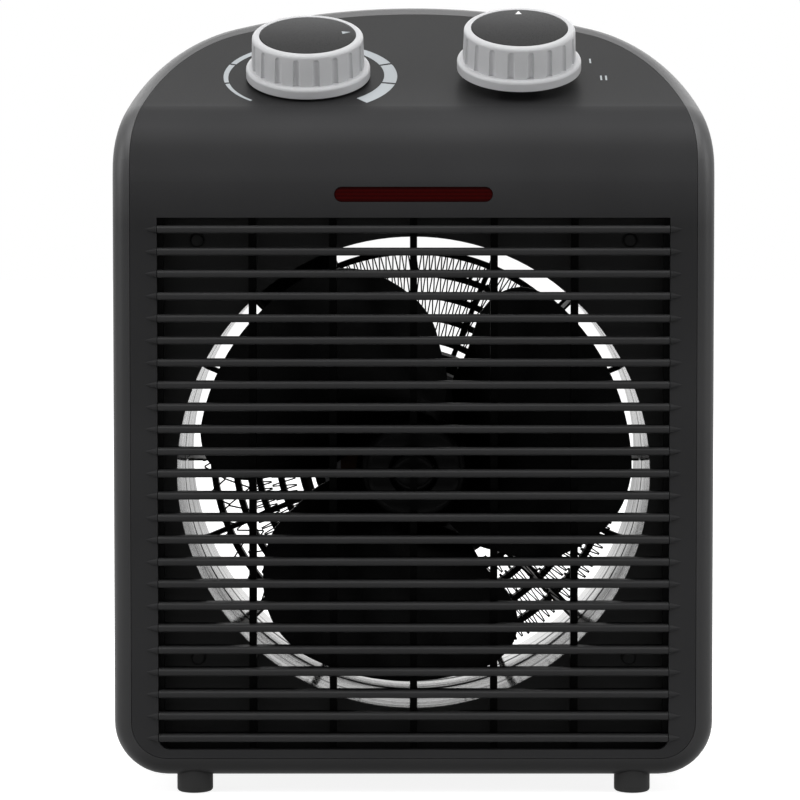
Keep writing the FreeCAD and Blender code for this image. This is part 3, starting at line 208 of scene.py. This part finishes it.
# Each finish: its colour and roughness, how far they vary, and how fine and deep its grain is
FINISH_VALUES = {
    "casing_black": dict(color=(0.060, 0.060, 0.0617), rough=0.42, grain=3200.0, bump=0.10),
    "cover_black": dict(color=(0.050, 0.050, 0.0516), rough=0.42, grain=3400.0, bump=0.08, specular=0.06),
    "grille_black": dict(color=(0.020, 0.020, 0.0205), rough=0.42, grain=3400.0, bump=0.08),
    "intake_black": dict(color=(0.010, 0.010, 0.0103), rough=0.5, grain=3000.0, bump=0.08, specular=0.05),
    "inner_black": dict(color=(0.017, 0.017, 0.017), rough=0.6, grain=2400.0, bump=0.12, specular=0.2),
    "knob_grey": dict(color=(0.59, 0.593, 0.605), rough=0.40, tint=0.03, grain=2800.0, bump=0.05,
                      specular=0.35),
    "cap_grey": dict(color=(0.080, 0.080, 0.0815), rough=0.30, grain=3000.0, bump=0.05, specular=0.03),
    "lens_red": dict(color=(0.022, 0.0005, 0.0004), rough=0.2, grain=900.0, bump=0.03, specular=0.02,
                     ribs=(0.034, 0.0008, 0.0007)),
    "lamp_glass": dict(color=(0.75, 0.5, 0.42), rough=0.08, tint=0.05, grain=600.0, bump=0.02),
    "duct_metal": dict(color=(0.86, 0.855, 0.84), rough=0.14, tint=0.14, grain=420.0, bump=0.06,
                       stretch=(0.04, 1.0, 0.04), broad=55.0, swing=0.08, depth=0.0003),
    "fan_black": dict(color=(0.0015, 0.0015, 0.0016), rough=0.25, grain=400.0, bump=0.02, specular=0.05,
                      swing=0.04),
    "steel": dict(color=(0.52, 0.52, 0.53), rough=0.32, metallic=1.0, grain=1800.0, bump=0.1),
    "motor_steel": dict(color=(0.035, 0.035, 0.036), rough=0.5, grain=1800.0, bump=0.1, specular=0.08),
    "black_screw": dict(color=(0.008, 0.008, 0.008), rough=0.5, grain=1800.0, bump=0.1, specular=0.2),
    "laminations": dict(color=(0.12, 0.12, 0.123), rough=0.5, metallic=1.0, grain=220.0, bump=0.3,
                        stretch=(0.2, 8.0, 0.2)),
    "copper": dict(color=(0.036, 0.015, 0.007), rough=0.45, metallic=0.2, grain=260.0, bump=0.4,
                   stretch=(6.0, 0.3, 0.3), specular=0.1),
    "bronze": dict(color=(0.42, 0.28, 0.13), rough=0.38, metallic=1.0, grain=2200.0, bump=0.12),
    "mica": dict(color=(0.036, 0.032, 0.026), rough=0.5, tint=0.25, grain=380.0, bump=0.15, broad=90.0,
                 specular=0.06),
    "heating_wire": dict(color=(0.006, 0.0056, 0.0053), rough=0.6, tint=0.25, grain=2400.0, bump=0.1,
                         broad=160.0, specular=0.03),
    "foot_rubber": dict(color=(0.03, 0.03, 0.03), rough=0.62, grain=1800.0, bump=0.18, specular=0.12),
    "white_plastic": dict(color=(0.62, 0.6, 0.55), rough=0.4, tint=0.04, grain=2000.0, bump=0.06),
    "control_black": dict(color=(0.018, 0.018, 0.019), rough=0.45, grain=2000.0, bump=0.1),
    "print_grey": dict(color=(0.43, 0.46, 0.48), rough=0.5, tint=0.05, grain=5200.0, bump=0.05),
    "print_white": dict(color=(0.86, 0.86, 0.86), rough=0.5, tint=0.03, grain=5200.0, bump=0.05),
}
# How much of the lamp's glass lets light through
GLASS_CLEAR = 0.85
# Painted light by height: painted shade darker by the floor, and painted sheen lighter at the shoulders
# and over the bend; the shine follows the same tones
CASING_PAINTED_LIGHT = [(0.0, 0.2), (7.0, 0.2), (16.0, 0.4), (190.0, 0.4), (215.0, 0.8), (228.0, 1.0),
                (245.0, 0.72), (270.0, 0.9)]
CASING_SHINE = 0.5
# Painted light on the cover by height: a painted sheen over the bend, fading as painted shade down the
# front to the window and back over the panel
COVER_PAINTED_SHEEN = [(0.0, 0.56), (130.0, 0.50), (190.0, 0.42), (199.0, 0.58), (207.0, 0.78), (216.0, 0.62),
               (222.5, 0.84), (226.0, 0.82), (231.0, 0.40), (240.0, 0.30), (270.0, 0.14)]
# Painted shade by height from the lens's middle, darker at its edges where its slot shades it
LENS_PAINTED_SHADE = [(-2.7, 0.45), (-1.5, 1.0), (1.3, 1.0), (2.7, 0.45)]
# Painted reflection on the caps, darker at their near edge and lighter towards their far edge
CAP_PAINTED_REFLECTION = [(-21.6, 0.10), (-14.0, 0.16), (-6.0, 0.34), (2.0, 0.66), (8.4, 1.0)]
# Painted shade by depth behind the front: the louvres' backs and the bars behind them are painted dark,
# and their shine fades with the same tones
GRILLE_PAINTED_SHADE = [(0.0, 1.0), (1.2, 0.85), (2.6, 0.1), (9.0, 0.03)]
GRILLE_SHINE = 0.12
# Painted light on the duct by depth behind the front: painted shade, darker towards the front, and painted
# shadow lines at its beads; its shine and metal follow the same tones
DUCT_PAINTED_SHADE = [(16.0, 0.5), (24.0, 0.62), (36.5, 0.55), (38.0, 0.2), (39.5, 0.2), (41.0, 0.66), (56.0, 0.8),
              (57.2, 0.02), (60.6, 0.02), (61.8, 0.84), (75.2, 0.9), (76.2, 0.05), (78.6, 0.05),
              (79.6, 0.92), (86.0, 0.94), (86.8, 0.3), (87.6, 0.94), (102.5, 1.0)]
DUCT_SHINE = 0.1
# Painted light by height from the fan's axis: the duct is painted brightest at its bottom, where light
# falls in, and its edge tint follows the same tones
DUCT_PAINTED_LIGHT = [(-82.0, 1.0), (-50.0, 0.9), (-30.0, 0.6), (-15.0, 0.3), (0.0, 0.2), (82.0, 0.2)]

FINISH = {name: surface(name, **values) for name, values in FINISH_VALUES.items()}
principled(FINISH["lamp_glass"]).inputs["Transmission Weight"].default_value = GLASS_CLEAR
paint_light_along(FINISH["casing_black"], "Z", FLOOR_Z, CASING_PAINTED_LIGHT, shine=CASING_SHINE)
paint_light_along(FINISH["cover_black"], "Z", FLOOR_Z, COVER_PAINTED_SHEEN)
paint_light_along(FINISH["grille_black"], "Y", FRONT_Y, GRILLE_PAINTED_SHADE, shine=GRILLE_SHINE)
paint_light_along(FINISH["cap_grey"], "Y", FOOT_Y, CAP_PAINTED_REFLECTION)
paint_light_along(FINISH["lens_red"], "Z", LENS_Z, LENS_PAINTED_SHADE)
paint_light_along(FINISH["duct_metal"], "Y", FRONT_Y, DUCT_PAINTED_SHADE, shine=DUCT_SHINE, metal=True)
paint_light_along(FINISH["duct_metal"], "Z", AXIS_Z, DUCT_PAINTED_LIGHT, edge=True)

# Nodes whose finish isn't the one of their slot
NODE_FINISH = {
    "rear_grille": "intake_black",
    "motor_front_bridge": "motor_steel",
    "motor_rear_bridge": "motor_steel",
    "baffle_screws": "inner_black",
}
for part in frame["record"]["subparts"]:
    skin = frame["nodes"][part["node"]].data.materials
    skin.clear()
    skin.append(FINISH[NODE_FINISH.get(part["node"], part["material_slot"])])


# Pieces that only the picture has
def added(name, data):
    """A new object in the scene."""
    made = bpy.data.objects.new(name, data)
    SCENE.collection.objects.link(made)
    return made


def panel_point(control, right, up, height):
    """A point by its place on the panel from a control's axis, in metres."""
    x = KNOB_X[control] + right
    y = FOOT_Y + up * math.cos(PANEL_ANGLE) - height * math.sin(PANEL_ANGLE)
    z = FOOT_Z + up * math.sin(PANEL_ANGLE) + height * math.cos(PANEL_ANGLE)
    return x * MM, y * MM, z * MM


def printed(name, control, outlines, low, high, finish, body):
    """Flat shapes on the panel or on a cap, as thin plates."""
    points, faces = [], []
    for corners in outlines:
        count = len(corners)
        first = len(points)
        for height in (low, high):
            points += [panel_point(control, a, b, height) for a, b in corners]
        faces.append(tuple(first + count + k for k in range(count)))
        faces.append(tuple(first + k for k in reversed(range(count))))
        for k in range(count):
            after = (k + 1) % count
            faces.append((first + k, first + after, first + count + after, first + count + k))
    data = bpy.data.meshes.new(name)
    data.from_pydata(points, [], faces)
    data.update()
    data.materials.append(FINISH[finish])
    made = added(name, data)
    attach(made, body)


def on_circle(radius, clockwise):
    """A point on a circle, clockwise from the top."""
    turn = math.radians(clockwise)
    return radius * math.sin(turn), radius * math.cos(turn)


def moved(outline, by):
    return [(a + by[0], b + by[1]) for a, b in outline]


def arc_strips(start, end, radius, wide_from, wide_to, steps):
    """Quads along an arc whose width grows clockwise."""
    out = []
    for k in range(steps):
        a = start + (end - start) * k / steps
        b = start + (end - start) * (k + 1) / steps
        half_a = (wide_from + (wide_to - wide_from) * k / steps) / 2.0
        half_b = (wide_from + (wide_to - wide_from) * (k + 1) / steps) / 2.0
        out.append([on_circle(radius - half_b, b), on_circle(radius - half_a, a),
                    on_circle(radius + half_a, a), on_circle(radius + half_b, b)])
    return out


# Underside and top of the print on the panel, in mm from its face
PRINT_LOW = -0.02
PRINT_HIGH = 0.035

# The thermostat's scale: a wedge that widens clockwise, in eight stretches
SCALE_CUTS = [-140.0, -103.0, -69.0, -34.0, 0.0, 34.0, 69.0, 103.0, 140.0]
SCALE_GAP = 2.4
SCALE_RISE = 1.2
SCALE_R = 28.2
SCALE_WIDTH = 0.9
SCALE_GROWTH = 4.3
SCALE_STEPS = 14


def scale_width(angle):
    return SCALE_WIDTH + SCALE_GROWTH * (angle - SCALE_CUTS[0]) / (SCALE_CUTS[-1] - SCALE_CUTS[0])


scale = []
for cut, next_cut in zip(SCALE_CUTS, SCALE_CUTS[1:]):
    start, end = cut + SCALE_GAP / 2.0, next_cut - SCALE_GAP / 2.0
    scale += arc_strips(start, end, SCALE_R, scale_width(start), scale_width(end), SCALE_STEPS)
scale = [moved(strip, (0.0, SCALE_RISE)) for strip in scale]
printed("thermostat_scale", "thermostat", scale, PRINT_LOW, PRINT_HIGH, "print_grey", "casing")

# The switch's marks: a ring for off, a fan, one bar and two bars, in mm and degrees
MARK_R = 29.0
OFF_ANGLE, FAN_ANGLE, LOW_ANGLE, HIGH_ANGLE = 0.0, 30.0, 60.0, 91.0
OFF_R = 1.7
OFF_WIDTH = 0.6
OFF_STEPS = 28
PETALS = (0.0, 120.0, 240.0)
PETAL_START = 0.5
PETAL_LONG = 1.9
PETAL_HALF = 35.0
PETAL_STEPS = 7
BAR_WIDE = 0.6
BAR_TALL = 3.9
BAR_APART = 0.85


def petal_point(turn, k, side):
    swing = side * PETAL_HALF * math.sin(math.pi * k / PETAL_STEPS)
    return on_circle(PETAL_START + PETAL_LONG * k / PETAL_STEPS, turn + swing)


def petal(turn):
    """One blade of the fan mark, up one side and down the other."""
    up = [petal_point(turn, k, 1.0) for k in range(PETAL_STEPS + 1)]
    down = [petal_point(turn, k, -1.0) for k in range(PETAL_STEPS - 1, 0, -1)]
    return list(reversed(up + down))


def bar(middle, aside):
    across, along = BAR_WIDE / 2, BAR_TALL / 2
    right, up = middle[0] + aside, middle[1]
    return [(right - across, up - along), (right + across, up - along),
            (right + across, up + along), (right - across, up + along)]


ring = arc_strips(0.0, 360.0, OFF_R, OFF_WIDTH, OFF_WIDTH, OFF_STEPS)
marks = [moved(strip, on_circle(MARK_R, OFF_ANGLE)) for strip in ring]
marks += [moved(petal(turn), on_circle(MARK_R, FAN_ANGLE)) for turn in PETALS]
marks.append(bar(on_circle(MARK_R, LOW_ANGLE), 0.0))
marks += [bar(on_circle(MARK_R, HIGH_ANGLE), aside) for aside in (-BAR_APART, BAR_APART)]
printed("switch_marks", "switch", marks, PRINT_LOW, PRINT_HIGH, "print_grey", "casing")

# A pointer on each cap: its angle, the radius of its tip and its finish
POINTERS = {"thermostat": (79.0, 14.8, "print_grey"), "switch": (0.0, 15.3, "print_white")}
POINTER_LONG = 2.9
POINTER_HALF = 1.15
POINTER_LOW = -0.02
POINTER_HIGH = 0.03
for control, (clockwise, tip_r, finish) in POINTERS.items():
    top = KNOB_STAND[control] + KNOB_HEIGHT
    turn = math.radians(clockwise)
    root = on_circle(tip_r - POINTER_LONG, clockwise)
    across = (POINTER_HALF * math.cos(turn), -POINTER_HALF * math.sin(turn))
    corners = [on_circle(tip_r, clockwise), (root[0] + across[0], root[1] + across[1]),
               (root[0] - across[0], root[1] - across[1])]
    printed(control + "_pointer", control, [corners], top + POINTER_LOW, top + POINTER_HIGH, finish,
            control + "_dial")

# Resistance wire: fine zigzags between the cards' teeth, in four rows, in mm and degrees
ROW_INNER, ROW_OUTER, ROW_GAP, ROW_COUNT = 42.0, 73.0, 1.6, 4
ROW_SET_BACK = 1.9
ROW_SEED = 40
WIRE_DEPTH = 69.55
WIRE_R = 0.36
WIRE_START, WIRE_END = -78.0, 258.0
INNER_STEP_IN = 0.3
OUTER_REACH = 0.7
LAST_OUTER_REACH = -1.0
BEND_HALF = 0.2
REACH_PLAY = 0.5
DEPTH_PLAY = 0.9
GAP_LEAST, GAP_PLAY = 0.8, 0.4
FIRST_ROW_GAP, ROW_STRAND_GAP = 1.3, 1.15
# The outer rows are loose at the lower left
LOOSE_FROM, LOOSE_TO = 178.0, 262.0
LOOSE_ROW = 2
LOOSE_GAP = 4.2


def strand_gap(row, angle):
    """Distance between neighbouring strands at an angle, anticlockwise from the right."""
    if row >= LOOSE_ROW and LOOSE_FROM < angle % 360.0 < LOOSE_TO:
        return LOOSE_GAP
    return ROW_STRAND_GAP if row else FIRST_ROW_GAP


def wire_points(row):
    """The corners of a row's zigzag, in metres."""
    pick = random.Random(ROW_SEED + row)
    step = (ROW_OUTER - ROW_INNER + ROW_GAP) / ROW_COUNT
    inner = ROW_INNER + row * step + INNER_STEP_IN
    beyond = OUTER_REACH if row < ROW_COUNT - 1 else LAST_OUTER_REACH
    outer = ROW_INNER + (row + 1) * step + beyond
    front = WIRE_DEPTH - ROW_SET_BACK * (row % 2)
    middle = (inner + outer) / 2.0
    half = math.degrees(BEND_HALF / middle)
    angle = WIRE_START
    out = True
    points = []
    while angle < WIRE_END:
        reach = outer - pick.random() * REACH_PLAY if out else inner + pick.random() * REACH_PLAY
        depth = front - pick.random() * DEPTH_PLAY
        for degrees in (angle - half, angle + half):
            turn = math.radians(degrees)
            height = AXIS_Z + reach * math.sin(turn)
            points.append((reach * math.cos(turn) * MM, (FRONT_Y + depth) * MM, height * MM))
        gap = strand_gap(row, angle) * (GAP_LEAST + GAP_PLAY * pick.random())
        angle += math.degrees(gap / middle)
        out = not out
    return points


def wire_row(row):
    data = bpy.data.curves.new("heating_wire_%d" % (row + 1), "CURVE")
    data.dimensions = "3D"
    data.bevel_depth = WIRE_R * MM
    data.bevel_resolution = 1
    data.use_fill_caps = True
    points = wire_points(row)
    line = data.splines.new("POLY")
    line.points.add(len(points) - 1)
    for point, place in zip(line.points, points):
        point.co = (*place, 1.0)
    data.materials.append(FINISH["heating_wire"])
    made = added(data.name, data)
    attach(made, "casing")
    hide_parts("element_wire_%d" % (row + 1))


for row in range(ROW_COUNT):
    wire_row(row)

# Studio, in metres
WHITE = (1.0, 1.0, 1.0, 1.0)
FLOOR_GREY = (0.62, 0.62, 0.62, 1.0)
FLOOR_HALF = 6.0
FLOOR_LOW = -0.0004
# The floor's own light near the object, where the shadow stays, and farther out
GLOW_NEAR, GLOW_FAR = 0.88, 1.0
GLOW_FROM, GLOW_TO = 0.15, 0.45
WORLD_DIM = 0.12
WORLD_WHITE = 1.0


def shown_white(tree):
    """One for rays from the camera, off metal and through glass, and nought for the rest."""
    path = tree.nodes.new("ShaderNodeLightPath")
    total = path.outputs["Is Camera Ray"]
    for kind in ("Is Glossy Ray", "Is Transmission Ray"):
        made = tree.nodes.new("ShaderNodeMath")
        made.operation = "MAXIMUM"
        tree.links.new(total, made.inputs[0])
        tree.links.new(path.outputs[kind], made.inputs[1])
        total = made.outputs[0]
    return total


def shown_apart(tree, output, plain, white):
    """Joins what lights the object and what is shown white to an output."""
    mix = tree.nodes.new("ShaderNodeMixShader")
    tree.links.new(shown_white(tree), mix.inputs["Fac"])
    tree.links.new(plain.outputs[0], mix.inputs[1])
    tree.links.new(white.outputs[0], mix.inputs[2])
    tree.links.new(mix.outputs[0], tree.nodes.new(output).inputs["Surface"])


def floor_finish():
    made = bpy.data.materials.new("studio_floor")
    made.use_nodes = True
    tree = made.node_tree
    tree.nodes.clear()
    plain = tree.nodes.new("ShaderNodeBsdfDiffuse")
    plain.inputs["Color"].default_value = FLOOR_GREY
    glow = tree.nodes.new("ShaderNodeEmission")
    glow.inputs["Color"].default_value = WHITE
    place = tree.nodes.new("ShaderNodeNewGeometry")
    reach = tree.nodes.new("ShaderNodeVectorMath")
    reach.operation = "LENGTH"
    tree.links.new(place.outputs["Position"], reach.inputs[0])
    strength = spread(tree, reach.outputs["Value"], GLOW_NEAR, GLOW_FAR, GLOW_FROM, GLOW_TO)
    tree.links.new(strength, glow.inputs["Strength"])
    both = tree.nodes.new("ShaderNodeAddShader")
    tree.links.new(plain.outputs[0], both.inputs[0])
    tree.links.new(glow.outputs[0], both.inputs[1])
    shown_apart(tree, "ShaderNodeOutputMaterial", plain, both)
    return made


def studio_floor():
    data = bpy.data.meshes.new("studio_floor")
    corners = [(-1, -1), (1, -1), (1, 1), (-1, 1)]
    data.from_pydata([(x * FLOOR_HALF, y * FLOOR_HALF, FLOOR_LOW) for x, y in corners], [], [(0, 1, 2, 3)])
    data.materials.append(floor_finish())
    made = added("studio_floor", data)


def studio_world():
    world = bpy.data.worlds.new("studio")
    SCENE.world = world
    world.use_nodes = True
    tree = world.node_tree
    tree.nodes.clear()
    lights = []
    for strength in (WORLD_DIM, WORLD_WHITE):
        made = tree.nodes.new("ShaderNodeBackground")
        made.inputs["Color"].default_value = WHITE
        made.inputs["Strength"].default_value = strength
        lights.append(made)
    shown_apart(tree, "ShaderNodeOutputWorld", *lights)


def softbox(name, place, aim, size, watts, shine):
    data = bpy.data.lights.new(name, "AREA")
    data.shape = "RECTANGLE"
    data.size, data.size_y = size
    data.energy = watts
    data.specular_factor = shine
    made = added(name, data)
    made.location = place
    made.rotation_mode = "QUATERNION"
    made.rotation_quaternion = (Vector(aim) - Vector(place)).to_track_quat("-Z", "Y")
    made.visible_camera = False


# Each light's place, aim, size, watts and share of shine
SOFTBOXES = {
    "key": ((0.0, -0.55, 1.55), (0.0, 0.0, 0.15), (1.6, 1.1), 19.0, 0.1),
    "left_fill": ((-1.4, -0.5, 0.7), (0.0, 0.0, 0.13), (0.6, 1.2), 8.5, 1.0),
    "right_fill": ((1.4, -0.5, 0.7), (0.0, 0.0, 0.13), (0.6, 1.2), 7.5, 1.0),
    "back_fill": ((0.0, 1.3, 1.0), (0.0, 0.0, 0.13), (1.6, 1.0), 6.0, 0.1),
}
studio_floor()
studio_world()
for name, values in SOFTBOXES.items():
    softbox(name, *values)

# Camera, level but for a slight look down
SENSOR = 36.0
LENS = 143.5
SHIFT_X = -0.0169
SHIFT_Y = -0.0810
CAMERA_PLACE = (0.0, -1.110, 0.2012)
LEVEL = 90.0
LOOK_DOWN = 2.6
view = bpy.data.cameras.new("camera")
view.sensor_width = SENSOR
view.lens = LENS
view.shift_x = SHIFT_X
view.shift_y = SHIFT_Y
camera = added("camera", view)
camera.location = CAMERA_PLACE
camera.rotation_euler = (math.radians(LEVEL - LOOK_DOWN), 0.0, 0.0)
SCENE.camera = camera
SCENE.view_settings.view_transform = "Standard"
